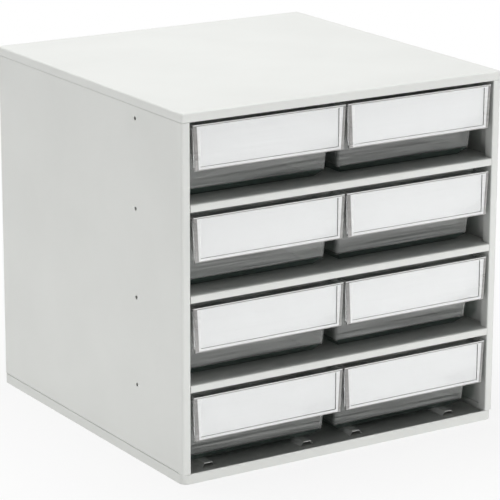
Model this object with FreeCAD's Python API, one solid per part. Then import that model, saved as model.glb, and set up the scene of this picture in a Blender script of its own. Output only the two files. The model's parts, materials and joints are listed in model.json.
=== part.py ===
import FreeCAD, Part
import math
import os

from FreeCAD import Vector

os.makedirs("parts", exist_ok=True)

# Parts bin cabinet in millimetres. X runs left to right, Y front to back, Z up.
# The origin is the centre of the footprint, on the surface the cabinet stands on.

# Bays and their bins
row_count = 4
column_count = 2
bin_width = 186.0          # over the rim
bin_height = 82.0
bin_length = 394.0
bin_gap = 2.0              # between the two columns
bin_lift = 0.3             # running gap over the shelf
rim_room = 5.8             # from a bin's rim to the shelf edge above it
side_room = 13.0           # from the nearest bin to the casing's side

# Casing
depth = 400.0
sheet = 1.0                # steel sheet, all folded pieces
base_lip = 10.8            # outside height of the base
lid_flange = 10.0          # height of the lid's edge
fit = 0.3                  # open seam between sheets that don't touch
cut_past = 5.0             # how far a cutting shape runs past what it cuts

# Base
base_corner = 8.0          # radius of its front corners
base_rear_corner = 4.0
lip_bevel = 0.7            # both top edges of the doubled lip
floor_rise = 5.0           # underside of the floor above the ground
flange_clearance = 1.0     # from the ground to the floor's turned-down edge
runner_foot = 8.0          # half width of a runner where it stands on the floor
runner_crown = 4.5         # half width of its flat top
runner_spacing = 124.0     # between the two runners under one bin
runner_end_gap = 22.0      # from the casing's front and back faces to a runner's ends

# Lid
lid_corner = 2.5
lid_edge = 2.0

# Side panels
front_flange = 9.7         # width of the flange seen from the front
front_return = 12.0        # how far that flange's edge is turned back
rear_flange = 12.0
panel_bend = 3.0           # outside radius of the upright bends
return_bend = 1.5
shadow_gap = 0.8           # dark line above the base
shadow_gap_stop = 10.0     # the line starts this far behind the front
tongue_end_gap = 12.0      # from the casing's front and back to the tongue's ends
tongue_outer_bend = 1.2
tongue_inner_bend = 0.3
tongue_blend = 6.0         # overlap of the tongue's strip with the panel

# Shelves, and the like pressing under the lid
shelf_front = 8.0          # height of the folded front edge
shelf_hem = 10.0           # the hem under the front edge, front to back
shelf_rear = 8.0
shelf_flange = 30.0        # side flanges against the panels
shelf_bend = 1.5
shelf_flange_bend = 2.0
notch_gap = 0.5            # behind the panel's return
rear_notch = 2.0

# Holes in the sides, to bolt cabinets together side by side
joining_drop = 23.0        # below each level
joining_setback = 94.0     # behind the casing's front
joining_radius = 2.15

# Form of a bin
bin_wall = 2.0
side_taper = 6.5           # each side is this much further in at the floor than the rim's edge
front_base_setback = 28.0  # front wall behind the label panel, at the floor
front_rim_setback = 20.0   # and at the rim
rear_draft = 3.0
rim_overhang = 2.0
rim_thickness = 2.0
rim_corner = 8.0
body_round = 6.0
floor_bevel = 9.0

# Label panel and its pocket, at the front of a bin
panel_drop = 48.0          # height of the label panel, from the rim down
panel_wall = 2.0
panel_bevel = 0.7
cheek_depth = 24.0         # cheeks at the rim, front to back
cheek_rim_height = 4.0
cheek_foot_depth = 6.0     # cheeks at the panel's lower edge
cheek_bow = 4.0            # how far the curved rear edge of a cheek is drawn in
ledge_sink = 2.0           # ledge between panel and front wall, below the rim
ledge_wall = 2.0
pocket_depth = 1.2
keeper_wall = 1.2
keeper_lap = 3.0           # how far the keeper overlaps the card
pocket_floor = 4.2         # above the panel's lower edge
card_margin = 9.0          # from the rim's edge to the card, either side
card_height = 41.0
card_thickness = 0.4
card_play = 0.5            # either side of the card

row_pitch = bin_lift + bin_height + rim_room + shelf_front
width = column_count * bin_width + (column_count - 1) * bin_gap + 2 * side_room
height = base_lip + row_count * row_pitch
half_width = width / 2
half_depth = depth / 2
lid_bottom = height - lid_flange
panel_inner = half_width - sheet
return_inner = half_width - front_flange
lip_wall = 2 * sheet
floor_top = floor_rise + sheet
card_width = bin_width - 2 * card_margin


def level(row):
    # height of what carries row 1 at the top down to row 4 at the bottom
    return base_lip + (row_count - row) * row_pitch


def place(plane, u, v, w):
    if plane == "xy":
        return Vector(u, v, w)
    if plane == "xz":
        return Vector(u, w, v)
    return Vector(w, u, v)


def slab(x0, x1, y0, y1, z0, z1):
    return Part.makeBox(x1 - x0, y1 - y0, z1 - z0, Vector(x0, y0, z0))


def prism(points, plane, start, end):
    corners = [place(plane, u, v, start) for u, v in points]
    face = Part.Face(Part.makePolygon(corners + corners[:1]))
    return face.extrude(place(plane, 0, 0, end - start))


def rounded(shape, radius, chosen):
    return shape.makeFillet(radius, [edge for edge in shape.Edges if chosen(edge)])


def bevelled(shape, size, chosen):
    return shape.makeChamfer(size, [edge for edge in shape.Edges if chosen(edge)])


def is_upright(edge):
    ends = [vertex.Point for vertex in edge.Vertexes]
    rise = abs(ends[0].z - ends[-1].z)
    run = math.hypot(ends[0].x - ends[-1].x, ends[0].y - ends[-1].y)
    return rise > run


def lies_at(height_wanted):
    # tells whether an edge lies wholly at one height
    def chosen(edge):
        box = edge.BoundBox
        return max(abs(box.ZMin - height_wanted), abs(box.ZMax - height_wanted)) < sheet / 10
    return chosen


def rounded_block(half_x, half_y, z0, z1, corner):
    block = slab(-half_x, half_x, -half_y, half_y, z0, z1)
    return rounded(block, corner, is_upright)


def directions(path):
    units = []
    for (u0, v0), (u1, v1) in zip(path, path[1:]):
        length = math.hypot(u1 - u0, v1 - v0)
        units.append(((u1 - u0) / length, (v1 - v0) / length))
    return units


def inner_side(path, radii, thickness):
    # the path's other side, a sheet's thickness to its left, with its bend radii
    units = directions(path)
    normals = [(-v, u) for u, v in units]
    first = [(path[0][0] + thickness * normals[0][0], path[0][1] + thickness * normals[0][1])]
    last = [(path[-1][0] + thickness * normals[-1][0], path[-1][1] + thickness * normals[-1][1])]
    middle = []
    inner_radii = []
    for index in range(1, len(path) - 1):
        n1, n2 = normals[index - 1], normals[index]
        scale = thickness / (1 + n1[0] * n2[0] + n1[1] * n2[1])
        middle.append((path[index][0] + scale * (n1[0] + n2[0]), path[index][1] + scale * (n1[1] + n2[1])))
        d1, d2 = units[index - 1], units[index]
        turn = math.copysign(1, d1[0] * d2[1] - d1[1] * d2[0])
        inner_radii.append(radii[index - 1] - turn * thickness)
    return first + middle + last, inner_radii


def straight(a, b, plane, w):
    return Part.LineSegment(place(plane, *a, w), place(plane, *b, w)).toShape()


def bent_edges(path, radii, plane, w):
    # straight runs joined by tangent arcs
    units = directions(path)
    edges = []
    start = path[0]
    for index in range(1, len(path) - 1):
        (u, v), radius = path[index], radii[index - 1]
        (a, b), (c, d) = units[index - 1], units[index]
        half_turn = math.acos(a * c + b * d) / 2
        cut = radius * math.tan(half_turn)
        bulge = radius / math.cos(half_turn) - radius
        size = math.hypot(c - a, d - b)
        before = (u - cut * a, v - cut * b)
        middle = (u + bulge * (c - a) / size, v + bulge * (d - b) / size)
        after = (u + cut * c, v + cut * d)
        edges.append(straight(start, before, plane, w))
        arc = Part.Arc(place(plane, *before, w), place(plane, *middle, w), place(plane, *after, w))
        edges.append(arc.toShape())
        start = after
    edges.append(straight(start, path[-1], plane, w))
    return edges


def folded(path, radii, plane, start, end):
    # a sheet whose outside follows the path, with the sheet on the path's left
    inner, inner_radii = inner_side(path, radii, sheet)
    edges = bent_edges(path, radii, plane, start)
    edges.append(straight(path[-1], inner[-1], plane, start))
    edges += bent_edges(inner[::-1], inner_radii[::-1], plane, start)
    edges.append(straight(inner[0], path[0], plane, start))
    return Part.Face(Part.Wire(edges)).extrude(place(plane, 0, 0, end - start))


def mirrored(shape):
    return shape.mirror(Vector(0, 0, 0), Vector(1, 0, 0))


def joined(shapes):
    return shapes[0].multiFuse(shapes[1:]).removeSplitter()


def bin_centre(column):
    return (column - (column_count - 1) / 2) * (bin_width + bin_gap)


def base_block(inset, z0, z1):
    # the base's outline, drawn in all round
    block = slab(inset - half_width, half_width - inset, inset - half_depth, half_depth - inset, z0, z1)
    block = rounded(block, base_corner - inset, lambda edge: is_upright(edge) and edge.BoundBox.YMax < 0)
    return rounded(block, base_rear_corner - inset,
                   lambda edge: is_upright(edge) and edge.BoundBox.YMin > 0)


def make_base_frame():
    # a strip folded back on itself, bent round the footprint
    frame = base_block(0, 0, base_lip).cut(base_block(lip_wall, -cut_past, base_lip + cut_past))
    return bevelled(frame, lip_bevel, lies_at(base_lip))


def make_base_floor():
    # a sheet with its edges turned down, let into the frame
    plate = base_block(lip_wall, flange_clearance, floor_top)
    return plate.cut(base_block(lip_wall + sheet, -cut_past, floor_rise))


def make_runners():
    # channels that carry the lowest bins level with the lip
    reach = half_depth - runner_end_gap
    strips = []
    for column in range(column_count):
        for side in (-1, 1):
            x = bin_centre(column) + side * runner_spacing / 2
            section = [(x - runner_foot, floor_top), (x + runner_foot, floor_top),
                       (x + runner_crown, base_lip), (x - runner_crown, base_lip)]
            lower = [(u, v - sheet) for u, v in section]
            strips.append(prism(section, "xz", -reach, reach).cut(
                prism(lower, "xz", -reach - cut_past, reach + cut_past)))
    return Part.makeCompound(strips)


def make_lid():
    outer = rounded_block(half_width, half_depth, lid_bottom, height, lid_corner)
    outer = rounded(outer, lid_edge, lies_at(height))
    inner = rounded_block(half_width - sheet, half_depth - sheet, lid_bottom - cut_past,
                          height - sheet, lid_corner - sheet)
    inner = bevelled(inner, (lid_edge - sheet) / 2, lies_at(height - sheet))
    return outer.cut(inner)


def make_right_panel():
    bottom = base_lip + fit
    path = [(return_inner, front_return - half_depth), (return_inner, -half_depth),
            (half_width, -half_depth), (half_width, half_depth),
            (half_width - rear_flange, half_depth)]
    panel = folded(path, [return_bend, panel_bend, panel_bend], "xy", bottom, lid_bottom - fit)
    gap_top = base_lip + shadow_gap
    gap = slab(half_width - lip_wall, half_width + cut_past, shadow_gap_stop - half_depth,
               half_depth + cut_past, bottom - cut_past, gap_top)
    # the lower edge steps in behind the base's lip and stands on its floor
    tongue_face = half_width - lip_wall - fit
    step = [(tongue_face, floor_top), (tongue_face, gap_top), (half_width, gap_top),
            (half_width, gap_top + tongue_blend)]
    reach = half_depth - tongue_end_gap
    tongue = folded(step, [tongue_inner_bend, tongue_outer_bend], "xz", -reach, reach)
    return drilled(joined([panel.cut(gap), tongue]), joining_holes())


def make_back_panel():
    reach = half_width - panel_bend - fit
    return slab(-reach, reach, half_depth - lip_wall, half_depth - sheet,
                base_lip + fit, height - lid_edge - fit)


def make_shelf(top, setback):
    # front edge folded under in a hem, rear edge folded down, side flanges against the panels
    front = setback - half_depth
    rear = half_depth - lip_wall
    path = [(rear, top - shelf_rear), (rear, top), (front, top), (front, top - shelf_front),
            (front + shelf_hem, top - shelf_front)]
    reach = return_inner - fit
    plate = folded(path, [shelf_bend] * (len(path) - 2), "yz", -reach, reach)
    flanged = [(panel_inner, top - shelf_flange), (panel_inner, top),
               (-panel_inner, top), (-panel_inner, top - shelf_flange)]
    behind_return = front_return + notch_gap - half_depth
    wings = folded(flanged, [shelf_flange_bend] * 2, "xz", behind_return, rear - rear_notch)
    return drilled(joined([plate, wings]), joining_holes())


def joining_holes():
    y = joining_setback - half_depth
    start = -half_width - cut_past
    return [Part.makeCylinder(joining_radius, width + 2 * cut_past,
                              Vector(start, y, level(row) - joining_drop), Vector(1, 0, 0))
            for row in range(row_count)]


def drilled(shape, holes):
    return shape.cut(Part.makeCompound(holes))


def half_at(z):
    # half width of a bin's body, outside, at a height above its floor
    return bin_width / 2 - side_taper + (side_taper - rim_overhang) * z / bin_height


def front_at(z):
    # where the bin's front wall stands, outside
    return front_base_setback + (front_rim_setback - front_base_setback) * z / bin_height


def rear_at(z):
    rim = bin_length - rim_overhang
    return rim - rear_draft * (1 - z / bin_height)


def body_block(inset, bottom, corner, floor_edge):
    # drafted block with bevelled floor edges: front view and side view, and what they share
    knee, top = bottom + floor_edge, bin_height
    halves = [(half_at(bottom) - inset - floor_edge, bottom), (half_at(knee) - inset, knee),
              (half_at(top) - inset, top)]
    front_view = halves + [(-x, z) for x, z in halves[::-1]]
    side_view = [(front_at(bottom) + inset + floor_edge, bottom), (front_at(knee) + inset, knee),
                 (front_at(top) + inset, top), (rear_at(top) - inset, top),
                 (rear_at(knee) - inset, knee), (rear_at(bottom) - inset - floor_edge, bottom)]
    block = prism(front_view, "xz", 0, bin_length).common(
        prism(side_view, "yz", -bin_width, bin_width))
    return rounded(block, corner, lambda edge: is_upright(edge) and edge.BoundBox.ZMax > top / 2)


def make_label_panel():
    # label panel with its cheeks, the ledge behind its rim, and the card's pocket
    foot = bin_height - panel_drop
    front_view = [(side * (half_at(z) + bin_wall), z) for side, z in
                  ((-1, foot), (1, foot), (1, bin_height), (-1, bin_height))]
    shoulder = bin_height - cheek_rim_height
    middle = Vector(0, (cheek_depth + cheek_foot_depth) / 2 - cheek_bow, (shoulder + foot) / 2)
    curve = Part.Arc(Vector(0, cheek_depth, shoulder), middle, Vector(0, cheek_foot_depth, foot)).toShape()
    outline = [(cheek_foot_depth, foot), (0, foot), (0, bin_height), (cheek_depth, bin_height),
               (cheek_depth, shoulder)]
    corners = [Vector(0, y, z) for y, z in outline]
    lines = [Part.LineSegment(a, b).toShape() for a, b in zip(corners, corners[1:])]
    side_view = Part.Face(Part.Wire(lines + [curve])).extrude(Vector(bin_width, 0, 0))
    side_view.translate(Vector(-bin_width / 2, 0, 0))
    block = prism(front_view, "xz", 0, cheek_depth).common(side_view)
    block = bevelled(block, panel_bevel, lambda edge: edge.BoundBox.YMax < panel_bevel / 10)
    ledge_top = bin_height - ledge_sink
    ledge_bottom = ledge_top - ledge_wall
    keeper_back = panel_wall + pocket_depth + keeper_wall
    low = foot - cut_past
    recess = [(side * half_at(z), z) for side, z in
              ((-1, low), (1, low), (1, ledge_bottom), (-1, ledge_bottom))]
    hollow = prism(recess, "xz", keeper_back, cheek_depth + cut_past)
    card_half = card_width / 2 + card_play
    pocket = slab(-card_half, card_half, panel_wall, panel_wall + pocket_depth,
                  foot + pocket_floor, bin_height + cut_past)
    window_half = card_half - keeper_lap
    window = slab(-window_half, window_half, panel_wall + pocket_depth, keeper_back + cut_past,
                  foot + pocket_floor + keeper_lap, ledge_bottom)
    groove_half = bin_width / 2 - rim_overhang - bin_wall
    groove = slab(-groove_half, groove_half, panel_wall, front_at(bin_height), ledge_top,
                  bin_height + cut_past)
    return block.cut(Part.makeCompound([hollow, pocket])).cut(window).cut(groove)


def make_rim():
    rim = slab(-bin_width / 2, bin_width / 2, front_at(bin_height), bin_length,
               bin_height - rim_thickness, bin_height)
    return rounded(rim, rim_corner, lambda edge: is_upright(edge) and edge.BoundBox.YMin > bin_length / 2)


def make_bin():
    outside = body_block(0, 0, body_round, floor_bevel)
    inside = body_block(bin_wall, bin_wall, body_round - bin_wall, floor_bevel - bin_wall / 2)
    return joined([outside, make_rim(), make_label_panel()]).cut(inside)


def make_card():
    foot = bin_height - panel_drop + pocket_floor
    slack = (pocket_depth - card_thickness) / 4
    return slab(-card_width / 2, card_width / 2, panel_wall + slack,
                panel_wall + slack + card_thickness, foot, foot + card_height)


def placed(shape, column, row):
    copy = shape.copy()
    copy.translate(Vector(bin_centre(column), -half_depth, level(row) + bin_lift))
    return copy


nodes = {}
nodes["base_frame"] = make_base_frame()
nodes["base_floor"] = make_base_floor()
nodes["floor_runners"] = make_runners()
nodes["lid"] = make_lid()
right_panel = make_right_panel()
nodes["side_panel_right"] = right_panel
nodes["side_panel_left"] = mirrored(right_panel)
nodes["back_panel"] = make_back_panel()
nodes["top_shelf"] = make_shelf(height - sheet, sheet)
for row in range(1, row_count):
    nodes["shelf_%d" % row] = make_shelf(level(row), 0)

bin_shape = make_bin()
card_shape = make_card()
for row in range(1, row_count + 1):
    for column, side in enumerate(("left", "right")):
        nodes["bin_%d_%s" % (row, side)] = placed(bin_shape, column, row)
        nodes["label_card_%d_%s" % (row, side)] = placed(card_shape, column, row)

for name, shape in nodes.items():
    shape.exportStep(os.path.join("parts", name + ".step"))
    box = shape.BoundBox
    print("%-20s %s solids %d volume %.0f box %.1f..%.1f %.1f..%.1f %.1f..%.1f" % (
        name, shape.isValid(), len(shape.Solids), shape.Volume,
        box.XMin, box.XMax, box.YMin, box.YMax, box.ZMin, box.ZMax))
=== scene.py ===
import json
import math

import bmesh
import bpy
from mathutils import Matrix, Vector


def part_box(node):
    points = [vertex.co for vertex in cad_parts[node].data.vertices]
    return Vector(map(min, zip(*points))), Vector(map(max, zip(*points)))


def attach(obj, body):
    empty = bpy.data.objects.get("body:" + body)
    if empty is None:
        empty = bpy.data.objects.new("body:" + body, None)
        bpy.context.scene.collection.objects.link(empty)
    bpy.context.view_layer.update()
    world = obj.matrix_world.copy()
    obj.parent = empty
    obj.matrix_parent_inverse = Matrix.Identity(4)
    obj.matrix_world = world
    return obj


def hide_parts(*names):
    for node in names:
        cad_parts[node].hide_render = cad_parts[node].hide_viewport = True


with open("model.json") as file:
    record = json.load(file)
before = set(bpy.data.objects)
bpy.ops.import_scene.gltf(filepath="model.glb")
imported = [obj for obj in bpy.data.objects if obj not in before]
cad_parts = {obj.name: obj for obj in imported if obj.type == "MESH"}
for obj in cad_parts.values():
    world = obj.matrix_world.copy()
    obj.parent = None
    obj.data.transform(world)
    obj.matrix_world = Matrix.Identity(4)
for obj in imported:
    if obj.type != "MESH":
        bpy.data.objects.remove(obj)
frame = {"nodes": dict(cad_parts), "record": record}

scene = bpy.context.scene
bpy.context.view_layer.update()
rows = (1, 2, 3, 4)
sides = ("left", "right")
mm = 0.001
noiseRange = (0.3, 0.7)                    # nearly all of a noise lies in here
tintRange = (0.35, 0.65)                   # and a shade turns over this stretch of it


def newMaterial(name):
    material = bpy.data.materials.new(name)
    material.use_nodes = True
    tree = material.node_tree
    return material, tree, tree.nodes["Principled BSDF"]


def addNode(tree, kind, **inputs):
    node = tree.nodes.new(kind)
    for key, value in inputs.items():
        node.inputs[key].default_value = value
    return node


def noiseOn(tree, scale, detail=2.0, roughness=0.5, stretch=(1, 1, 1)):
    # noise over the object's own coordinates, in metres
    place = tree.nodes.new("ShaderNodeTexCoord")
    mapping = tree.nodes.new("ShaderNodeMapping")
    mapping.inputs["Scale"].default_value = stretch
    tree.links.new(place.outputs["Object"], mapping.inputs["Vector"])
    noise = addNode(tree, "ShaderNodeTexNoise", Scale=scale, Detail=detail, Roughness=roughness)
    tree.links.new(mapping.outputs["Vector"], noise.inputs["Vector"])
    return noise.outputs["Fac"]


def remap(tree, source, low, high, fromLow=noiseRange[0], fromHigh=noiseRange[1]):
    node = tree.nodes.new("ShaderNodeMapRange")
    for key, value in (("From Min", fromLow), ("From Max", fromHigh), ("To Min", low), ("To Max", high)):
        node.inputs[key].default_value = value
    tree.links.new(source, node.inputs["Value"])
    return node.outputs["Result"]


def combine(tree, operation, first, second):
    node = tree.nodes.new("ShaderNodeMath")
    node.operation = operation
    for slot, value in enumerate((first, second)):
        if isinstance(value, (int, float)):
            node.inputs[slot].default_value = value
        else:
            tree.links.new(value, node.inputs[slot])
    return node.outputs[0]


def bumpFrom(tree, source, shader, strength, distance):
    bump = addNode(tree, "ShaderNodeBump", Strength=strength, Distance=distance)
    tree.links.new(source, bump.inputs["Height"])
    tree.links.new(bump.outputs["Normal"], shader.inputs["Normal"])


def tintBetween(tree, source, shade, deviation):
    # the shade, a little darker and lighter over the noise
    ramp = tree.nodes.new("ShaderNodeValToRGB")
    for element, position, offset in zip(ramp.color_ramp.elements, tintRange, (-deviation, deviation)):
        element.position = position
        element.color = (*(c + offset for c in shade), 1)
    tree.links.new(source, ramp.inputs["Fac"])
    return ramp.outputs["Color"]


paintLook = {
    "shade": (0.735, 0.745, 0.722),        # light grey powder coat
    "shadeDeviation": 0.012,
    "roughness": (0.38, 0.48),
    "specular": 0.35,
    "drift": (9.0, 3.0),                   # slow change of the shade: scale and detail
    "grain": (900.0, 2.0, 0.6),            # fine skin of the coat: scale, detail and roughness
    "grainShare": 0.25,                    # of the grain in the bump
    "ripple": (55.0, 1.0),                 # slow unevenness of the sheet: scale and detail
    "rippleDepth": 0.3 * mm,
    "bumpStrength": 0.10,
}


def makePaint():
    material, tree, shader = newMaterial("powderCoat")
    drift = noiseOn(tree, *paintLook["drift"])
    tree.links.new(tintBetween(tree, drift, paintLook["shade"], paintLook["shadeDeviation"]),
                   shader.inputs["Base Color"])
    grain = noiseOn(tree, *paintLook["grain"])
    tree.links.new(remap(tree, grain, *paintLook["roughness"]), shader.inputs["Roughness"])
    ripple = noiseOn(tree, *paintLook["ripple"])
    skin = combine(tree, "ADD", combine(tree, "MULTIPLY", grain, paintLook["grainShare"]), ripple)
    bumpFrom(tree, skin, shader, paintLook["bumpStrength"], paintLook["rippleDepth"])
    shader.inputs["Specular IOR Level"].default_value = paintLook["specular"]
    return material


# clearness varies along the flow marks; lampTint is the share of lamp light that a face lets through, kept
# low and greenish on the body and the foot, which paints deeper, greener shade inside the cabinet
plasticLooks = {
    # the body's milky share is partly the plastic's own haze and partly a painted reflection: lit by the
    # lamps, it greys the grip walls
    "bodyPlastic": {"shade": (0.94, 0.935, 0.925), "clearness": (0.80, 0.96), "roughness": (0.03, 0.12),
                    "streakDepth": 0.05 * mm, "lampTint": (0.58, 0.64, 0.62)},
    "panelPlastic": {"shade": (0.99, 0.995, 0.995), "clearness": (0.99, 1.0), "roughness": (0.0, 0.0),
                     "streakDepth": 0.01 * mm, "lampTint": (1.0, 1.0, 1.0)},
    # pale frosted plastic that stands in for edge highlights: a painted highlight around the card and along
    # the front wall's rim
    "paintedHighlightPlastic": {"shade": (0.95, 0.955, 0.955), "clearness": (0.10, 0.20), "roughness": (0.15, 0.25),
                      "streakDepth": 0.01 * mm, "lampTint": (0.6, 0.6, 0.6)},
    "stripPlastic": {"shade": (0.88, 0.86, 0.845), "clearness": (0.62, 0.74), "roughness": (0.08, 0.18),
                     "streakDepth": 0.02 * mm, "lampTint": (0.6, 0.65, 0.63)},
    # darker green tint on the foot: painted shade where the bin stands in shadow on the shelf
    "footPaintedShadePlastic": {"shade": (0.62, 0.76, 0.72), "clearness": (0.97, 1.0), "roughness": (0.03, 0.10),
                    "streakDepth": 0.05 * mm, "lampTint": (0.48, 0.57, 0.54)},
}
plasticIndex = 1.55
# scale, detail, roughness and stretch of the moulding's flow marks, which run across
flowNoise = (16.0, 4.0, 0.6, (0.5, 0.5, 28))
flowStrength = 0.6


def makePlastic(name, look):
    material, tree, shader = newMaterial(name)
    shader.inputs["Base Color"].default_value = (*look["shade"], 1)
    shader.inputs["IOR"].default_value = plasticIndex
    flow = noiseOn(tree, *flowNoise)
    tree.links.new(remap(tree, flow, *look["clearness"]), shader.inputs["Transmission Weight"])
    tree.links.new(remap(tree, flow, *look["roughness"]), shader.inputs["Roughness"])
    bumpFrom(tree, flow, shader, flowStrength, look["streakDepth"])
    path = tree.nodes.new("ShaderNodeLightPath")
    opening = addNode(tree, "ShaderNodeBsdfTransparent", Color=(*look["lampTint"], 1))
    both = tree.nodes.new("ShaderNodeMixShader")
    tree.links.new(path.outputs["Is Shadow Ray"], both.inputs["Fac"])
    tree.links.new(shader.outputs[0], both.inputs[1])
    tree.links.new(opening.outputs[0], both.inputs[2])
    tree.links.new(both.outputs[0], tree.nodes["Material Output"].inputs["Surface"])
    return material


cardLook = {
    "shade": (0.935, 0.94, 0.94),
    "shadeDeviation": 0.006,
    "roughness": (0.75, 0.9),
    "specular": 0.25,
    "fibre": (1600.0, 4.0, 0.65, (1, 1, 2.5)),   # scale, detail, roughness and stretch
    "fibreDepth": 0.1 * mm,
    "bumpStrength": 0.08,
}


def makeCardboard():
    material, tree, shader = newMaterial("labelCard")
    fibre = noiseOn(tree, *cardLook["fibre"])
    tree.links.new(tintBetween(tree, fibre, cardLook["shade"], cardLook["shadeDeviation"]),
                   shader.inputs["Base Color"])
    tree.links.new(remap(tree, fibre, *cardLook["roughness"]), shader.inputs["Roughness"])
    bumpFrom(tree, fibre, shader, cardLook["bumpStrength"], cardLook["fibreDepth"])
    shader.inputs["Specular IOR Level"].default_value = cardLook["specular"]
    return material


paint = makePaint()
plastics = {name: makePlastic(name, look) for name, look in plasticLooks.items()}
cardboard = makeCardboard()
print("materials made")


def dress(thing, material):
    if thing.material_slots:
        for slot in thing.material_slots:
            slot.material = material
    else:
        thing.data.materials.append(material)


casingNodes = frame["record"]["behaviour"]["bodies"]["casing"]
for node in casingNodes:
    dress(frame["nodes"][node], paint)
print("casing dressed", len(casingNodes))


binLook = {
    "weld": 0.002 * mm,
    "cutPlay": 0.001 * mm,
    "facing": 0.99,                        # a front face's normal points forward by at least this
    "facePlay": 0.1 * mm,                  # a front face lies this near to the front
    "cornerPlay": 0.2 * mm,                # and a corner of the panel this near to its edge
    "rollProfile": 0.5,
    "flat": math.radians(0.3),             # faces this near to one plane are joined
    "sharp": math.radians(28),             # edges from here on are rolled
    "edge": 0.55 * mm,
    "segments": 3,
    "crisp": math.radians(38),             # shading breaks from here on
    "panelDepth": 4.6 * mm,                # label panel with its pocket, front to back
    "borderDepth": 0.7 * mm,               # the pale border painted in as a highlight around the card, from the front
    "cardPlay": 0.15 * mm,                 # clear strip beside the card
    "frameSides": (3.4 * mm, 4.6 * mm),    # raised frame around the card, from the panel's side edges
    "frameEnds": (0.8 * mm, 1.8 * mm),     # and from its upper and lower edges
    "frameRise": 0.35 * mm,
    "wallTop": (18.5 * mm, 24.0 * mm),     # behind the front, upper edge of the front wall, painted pale as a highlight
    "wallTopDepth": 0.9 * mm,              # painted highlight, pale down to here from the rim
    "edgePlay": 0.1 * mm,                  # keeps the frame's own side out of the strip beside it
    "footHeight": 9.3 * mm,                # bevelled foot, tinted darker green as painted shade
}


def newPiece(name, form):
    mesh = bpy.data.meshes.new(name)
    form.to_mesh(mesh)
    form.free()
    piece = bpy.data.objects.new(name, mesh)
    scene.collection.objects.link(piece)
    return piece


def frontFaces(form, front):
    reach = front + binLook["facePlay"]
    return [f for f in form.faces if f.normal.y < -binLook["facing"] and f.calc_center_median().y < reach]


def cutFront(form, front, at, normal):
    faces = frontFaces(form, front)
    pieces = faces + list({e for f in faces for e in f.edges}) + list({v for f in faces for v in f.verts})
    bmesh.ops.bisect_plane(form, geom=pieces, plane_co=at, plane_no=normal, dist=binLook["cutPlay"])


def panelEdges(form, front):
    # a point on each edge of the label panel's face, and the direction in from it
    corners = [v.co.copy() for f in frontFaces(form, front) for v in f.verts]
    top, foot = max(c.z for c in corners), min(c.z for c in corners)
    upper = [c.x for c in corners if c.z > top - binLook["cornerPlay"]]
    lower = [c.x for c in corners if c.z < foot + binLook["cornerPlay"]]
    edges = [(Vector((0, front, top)), Vector((0, 0, -1)), "frameEnds"),
             (Vector((0, front, foot)), Vector((0, 0, 1)), "frameEnds")]
    for pick, inwards in ((min, 1), (max, -1)):
        slope = (pick(upper) - pick(lower)) / (top - foot)
        edges.append((Vector((pick(lower), front, foot)),
                      Vector((inwards, 0, -inwards * slope)).normalized(), "frameSides"))
    return edges


def raiseFrame(form, front, edges):
    for at, inwards, which in edges:
        for inset in binLook[which]:
            cutFront(form, front, at + inwards * inset, inwards)

    def isPast(face, level):
        middle = face.calc_center_median()
        return all((middle - at).dot(inwards) > binLook[which][level] for at, inwards, which in edges)

    faces = frontFaces(form, front)
    outside = {f for f in faces if not isPast(f, 0)}
    band = [f for f in faces if f not in outside and not isPast(f, 1)]
    raised = bmesh.ops.extrude_face_region(form, geom=band)["geom"]
    bmesh.ops.delete(form, geom=[f for f in band if f.is_valid], context="FACES_ONLY")
    bmesh.ops.translate(form, vec=(0, -binLook["frameRise"], 0),
                        verts=[v for v in raised if isinstance(v, bmesh.types.BMVert)])
    return outside


def isNearSide(middle, edges):
    reach = binLook["frameSides"][0] - binLook["edgePlay"]
    return any((middle - at).dot(inwards) < reach for at, inwards, which in edges if which == "frameSides")


def markPlastic(form, front, floor, rim, card, outside, edges):
    order = list(plastics)
    wallTop = [front + depth for depth in binLook["wallTop"]]
    (left, _, bottom), (right, _, top) = card
    panelFoot = min(v.co.z for v in form.verts if v.co.y < front + binLook["facePlay"])
    for face in form.faces:
        middle = face.calc_center_median()
        x, y, z = middle
        which = "bodyPlastic"
        if y < front + binLook["panelDepth"] and z > panelFoot:
            which = "panelPlastic"
            if face in outside or isNearSide(middle, edges):
                which = "stripPlastic"
            # the pale frosted border around the card is a painted highlight for the bright line at its edge
            elif y < front + binLook["borderDepth"] and not (left < x < right and bottom < z < top):
                which = "paintedHighlightPlastic"
        # the foot gets the darker green plastic: painted shade under the bin
        elif z < floor + binLook["footHeight"]:
            which = "footPaintedShadePlastic"
        # the upper edge of the front wall gets the pale plastic too: a painted highlight along the rim
        elif wallTop[0] < y < wallTop[1] and z > rim - binLook["wallTopDepth"]:
            which = "paintedHighlightPlastic"
        face.material_index = order.index(which)


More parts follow.
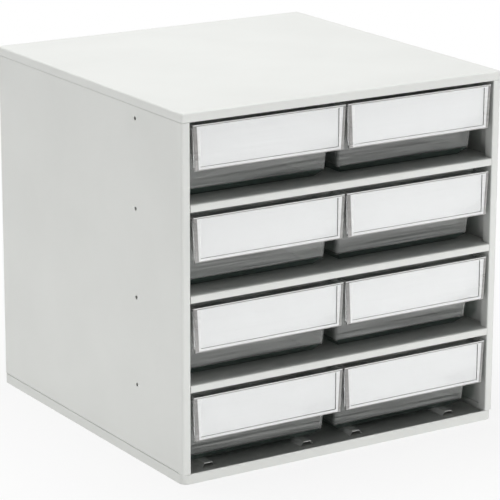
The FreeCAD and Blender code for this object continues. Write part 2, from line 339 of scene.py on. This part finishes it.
def makeClearBin(row, side):
    body = "bin_%d_%s" % (row, side)
    low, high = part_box(body)
    card = [Vector(corner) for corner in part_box("label_card_%d_%s" % (row, side))]
    play = Vector((binLook["cardPlay"], 0, binLook["cardPlay"]))
    card = (card[0] - play, card[1] + play)
    front = low[1]
    form = bmesh.new()
    form.from_mesh(frame["nodes"][body].data)
    bmesh.ops.remove_doubles(form, verts=form.verts, dist=binLook["weld"])
    bmesh.ops.dissolve_limit(form, angle_limit=binLook["flat"], verts=form.verts, edges=form.edges)
    rolled = [e for e in form.edges if len(e.link_faces) == 2 and e.calc_face_angle(0) > binLook["sharp"]]
    bmesh.ops.bevel(form, geom=rolled, offset=binLook["edge"], offset_type="OFFSET", affect="EDGES",
                    segments=binLook["segments"], profile=binLook["rollProfile"], material=-1,
                    clamp_overlap=True)
    for normal in ((1, 0, 0), (0, 0, 1)):
        for corner in card:
            cutFront(form, front, corner, normal)
    edges = panelEdges(form, front)
    outside = raiseFrame(form, front, edges)
    markPlastic(form, front, low[2], high[2], card, outside, edges)
    bmesh.ops.triangulate(form, faces=[f for f in form.faces if len(f.verts) > 4])
    for face in form.faces:
        face.smooth = True
    for e in form.edges:
        if len(e.link_faces) == 2 and e.calc_face_angle(0) > binLook["crisp"]:
            e.smooth = False
    clear = newPiece("clearBin_%d_%s" % (row, side), form)
    for plastic in plastics.values():
        clear.data.materials.append(plastic)
    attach(clear, body)
    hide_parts(body)


for row in rows:
    for side in sides:
        makeClearBin(row, side)
        dress(frame["nodes"]["label_card_%d_%s" % (row, side)], cardboard)
print("bins made")


stageLook = {
    "floorReach": 4.0,
    "floorShade": (0.80, 0.80, 0.795),
    "floorNoise": 3.0,
    "floorDeviation": 0.002,
    "floorRoughness": 0.9,
    "floorSpecular": 0.1,
    "whiteShare": 0.85,                    # of plain white that the camera sees in the floor by the cabinet
    "shadowReach": (0.30, 0.75),           # over this stretch it turns to plain white
    "worldLevel": 0.11,                    # of plain white, where the world only lights the cabinet
    "mattDepth": 0.5,                      # under this diffuse depth a ray has met no matt surface
}


def makeFloor():
    form = bmesh.new()
    bmesh.ops.create_grid(form, x_segments=1, y_segments=1, size=stageLook["floorReach"])
    floor = newPiece("studioFloor", form)
    material, tree, shader = newMaterial("paleFloor")
    tree.links.new(tintBetween(tree, noiseOn(tree, stageLook["floorNoise"]), stageLook["floorShade"],
                               stageLook["floorDeviation"]), shader.inputs["Base Color"])
    shader.inputs["Roughness"].default_value = stageLook["floorRoughness"]
    shader.inputs["Specular IOR Level"].default_value = stageLook["floorSpecular"]
    place = tree.nodes.new("ShaderNodeTexCoord")
    away = tree.nodes.new("ShaderNodeVectorMath")
    away.operation = "LENGTH"
    tree.links.new(place.outputs["Object"], away.inputs[0])
    fade = remap(tree, away.outputs["Value"], stageLook["whiteShare"], 1.0, *stageLook["shadowReach"])
    seen = tree.nodes.new("ShaderNodeLightPath")
    white = addNode(tree, "ShaderNodeEmission", Color=(1, 1, 1, 1), Strength=1.0)
    both = tree.nodes.new("ShaderNodeMixShader")
    tree.links.new(combine(tree, "MULTIPLY", seen.outputs["Is Camera Ray"], fade), both.inputs["Fac"])
    tree.links.new(shader.outputs[0], both.inputs[1])
    tree.links.new(white.outputs[0], both.inputs[2])
    tree.links.new(both.outputs[0], tree.nodes["Material Output"].inputs["Surface"])
    floor.data.materials.append(material)


def makeWorld():
    world = bpy.data.worlds.new("studioWorld")
    scene.world = world
    world.use_nodes = True
    tree = world.node_tree
    backdrop = tree.nodes["Background"]
    backdrop.inputs["Color"].default_value = (1, 1, 1, 1)
    seen = tree.nodes.new("ShaderNodeLightPath")
    shown = combine(tree, "MAXIMUM", seen.outputs["Is Camera Ray"], seen.outputs["Is Glossy Ray"])
    shown = combine(tree, "MAXIMUM", shown, seen.outputs["Is Transmission Ray"])
    # white where it is looked at, and no lamp for what stands behind the plastic
    direct = combine(tree, "LESS_THAN", seen.outputs["Diffuse Depth"], stageLook["mattDepth"])
    shown = combine(tree, "MULTIPLY", shown, direct)
    tree.links.new(remap(tree, shown, stageLook["worldLevel"], 1.0, 0.0, 1.0), backdrop.inputs["Strength"])


# low strips light the front and the left side, and leave the shelf tops and the right inner wall in shade;
# a strip that the clear label panels mirrored would light the cards a second time
lampLooks = {
    "topBox": {"at": (-0.1, 0.1, 2.5), "aim": (-0.1, 0.1, 0.39), "size": (1.5, 1.5), "power": 51.0,
               "mirrored": True},
    "frontStrip": {"at": (0.85, -2.7, 0.08), "aim": (0, -0.2, 0.10), "size": (1.2, 0.14), "power": 46.0,
                   "mirrored": False},
    "leftStrip": {"at": (-2.5, 0.1, 0.10), "aim": (-0.2, 0, 0.10), "size": (2.0, 0.18), "power": 26.0,
                  "mirrored": False},
}


def makeLamps():
    for name, look in lampLooks.items():
        lamp = bpy.data.lights.new(name, "AREA")
        lamp.energy, lamp.shape = look["power"], "RECTANGLE"
        lamp.size, lamp.size_y = look["size"]
        thing = bpy.data.objects.new(name, lamp)
        scene.collection.objects.link(thing)
        # the plastic's own tint already lets lamp light through, so it isn't counted twice
        thing.visible_transmission = False
        thing.visible_glossy = look["mirrored"]
        thing.location = look["at"]
        towards = Vector(look["aim"]) - Vector(look["at"])
        thing.rotation_euler = towards.to_track_quat("-Z", "Y").to_euler()


cameraLook = {
    "at": (-1.5465, -2.4555, 0.9952),
    "turn": (74.4581, -0.2210, -32.4886),
    "lens": 194.239,
    "sensor": 36.0,
    "shift": (-0.02, -0.02),
}


def makeCamera():
    lens = bpy.data.cameras.new("photoCamera")
    lens.lens, lens.sensor_width = cameraLook["lens"], cameraLook["sensor"]
    lens.shift_x, lens.shift_y = cameraLook["shift"]
    camera = bpy.data.objects.new("photoCamera", lens)
    scene.collection.objects.link(camera)
    camera.location = cameraLook["at"]
    camera.rotation_euler = [math.radians(turn) for turn in cameraLook["turn"]]
    scene.camera = camera


makeFloor()
makeWorld()
makeLamps()
makeCamera()
scene.view_settings.view_transform = "Standard"
print("stage set")
